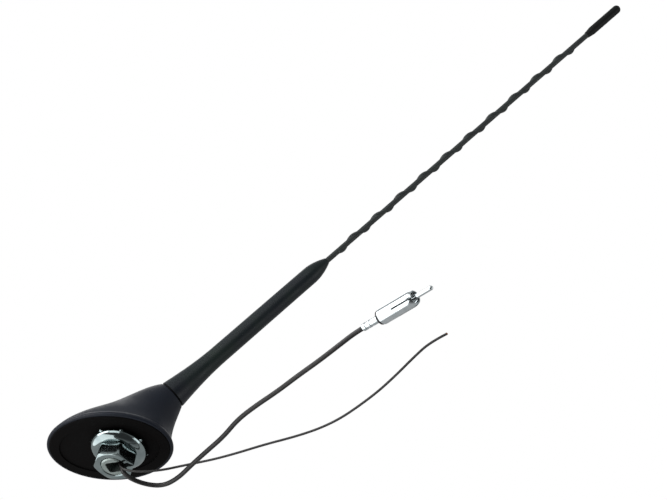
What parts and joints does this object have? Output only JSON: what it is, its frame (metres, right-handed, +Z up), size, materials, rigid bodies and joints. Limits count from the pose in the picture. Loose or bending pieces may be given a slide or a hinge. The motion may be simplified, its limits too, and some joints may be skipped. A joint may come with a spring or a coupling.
{
  "type": "roof antenna",
  "caption": "Vehicle roof antenna with an oval black foot, a raked screw-in mast with a spiral-ribbed whip, a clamping nut with claw washer, an aerial lead with plug and a supply wire.",
  "frame": {"origin": "on the roof plane, where the axis of the fixing stud meets the underside of the gasket", "axes": "+Z up, away from the roof along the stud; the mast leans toward +X; the leads run out below the roof toward +X and -Y"},
  "size_m": [0.3594, 0.1413, 0.3723],
  "materials": {
    "shell_plastic": "satin",
    "gasket_rubber": "matt",
    "cast_metal": "bright cast",
    "bright_plate": "polished",
    "board_laminate": "satin",
    "tinned_steel": "satin",
    "screw_steel": "zinc plated",
    "socket_brass": "machined",
    "seal_rubber": "matt",
    "mast_plastic": "satin",
    "whip_plastic": "satin",
    "lead_jacket": "satin",
    "plug_nickel": "nickel plated",
    "plug_core": "matt"
  },
  "bodies": {
    "base": {"foot_cover": "shell_plastic", "base_gasket": "gasket_rubber", "base_casting": "cast_metal", "cover_screw_rear": "screw_steel", "cover_screw_left": "screw_steel", "cover_screw_right": "screw_steel", "amplifier_board": "board_laminate", "board_screw_rear": "screw_steel", "board_screw_front": "screw_steel", "shield_can": "tinned_steel", "mast_socket": "socket_brass", "contact_spring": "tinned_steel", "coax_lead": "lead_jacket", "supply_wire": "lead_jacket", "plug_ferrule": "plug_nickel", "plug_insulator": "plug_core", "plug_barrel": "plug_nickel", "plug_pin": "plug_nickel"},
    "washer": {"claw_washer": "bright_plate"},
    "nut": {"fixing_nut": "bright_plate"},
    "seal": {"seal_ring": "seal_rubber"},
    "mast": {"mast_sleeve": "mast_plastic", "mast_stud": "screw_steel", "whip": "whip_plastic", "tip_cap": "mast_plastic"}
  },
  "joints": [
    {"name": "washer_lift", "type": "slide", "parent": "base", "child": "washer", "axis": [0, 0, 1], "range_m": [-0.0015, 0.0005]},
    {"name": "nut_turn", "type": "hinge", "parent": "washer", "child": "nut", "pos_m": [0, 0, -0.0113], "axis": [0, 0, 1], "range_deg": [-361, 121]},
    {"name": "mast_lift", "type": "slide", "parent": "base", "child": "seal", "axis": [0.6717, 0, 0.7408], "range_m": [0, 0.008]},
    {"name": "mast_turn", "type": "hinge", "parent": "seal", "child": "mast", "pos_m": [0.0292, 0, 0.0389], "axis": [0.6717, 0, 0.7408], "range_deg": [0, 3601]}
  ],
  "couplings": [
    {"joint": "nut_turn", "follows": "washer_lift", "rad_per_m": 4188.8},
    {"joint": "mast_turn", "follows": "mast_lift", "rad_per_m": 7854}
  ]
}
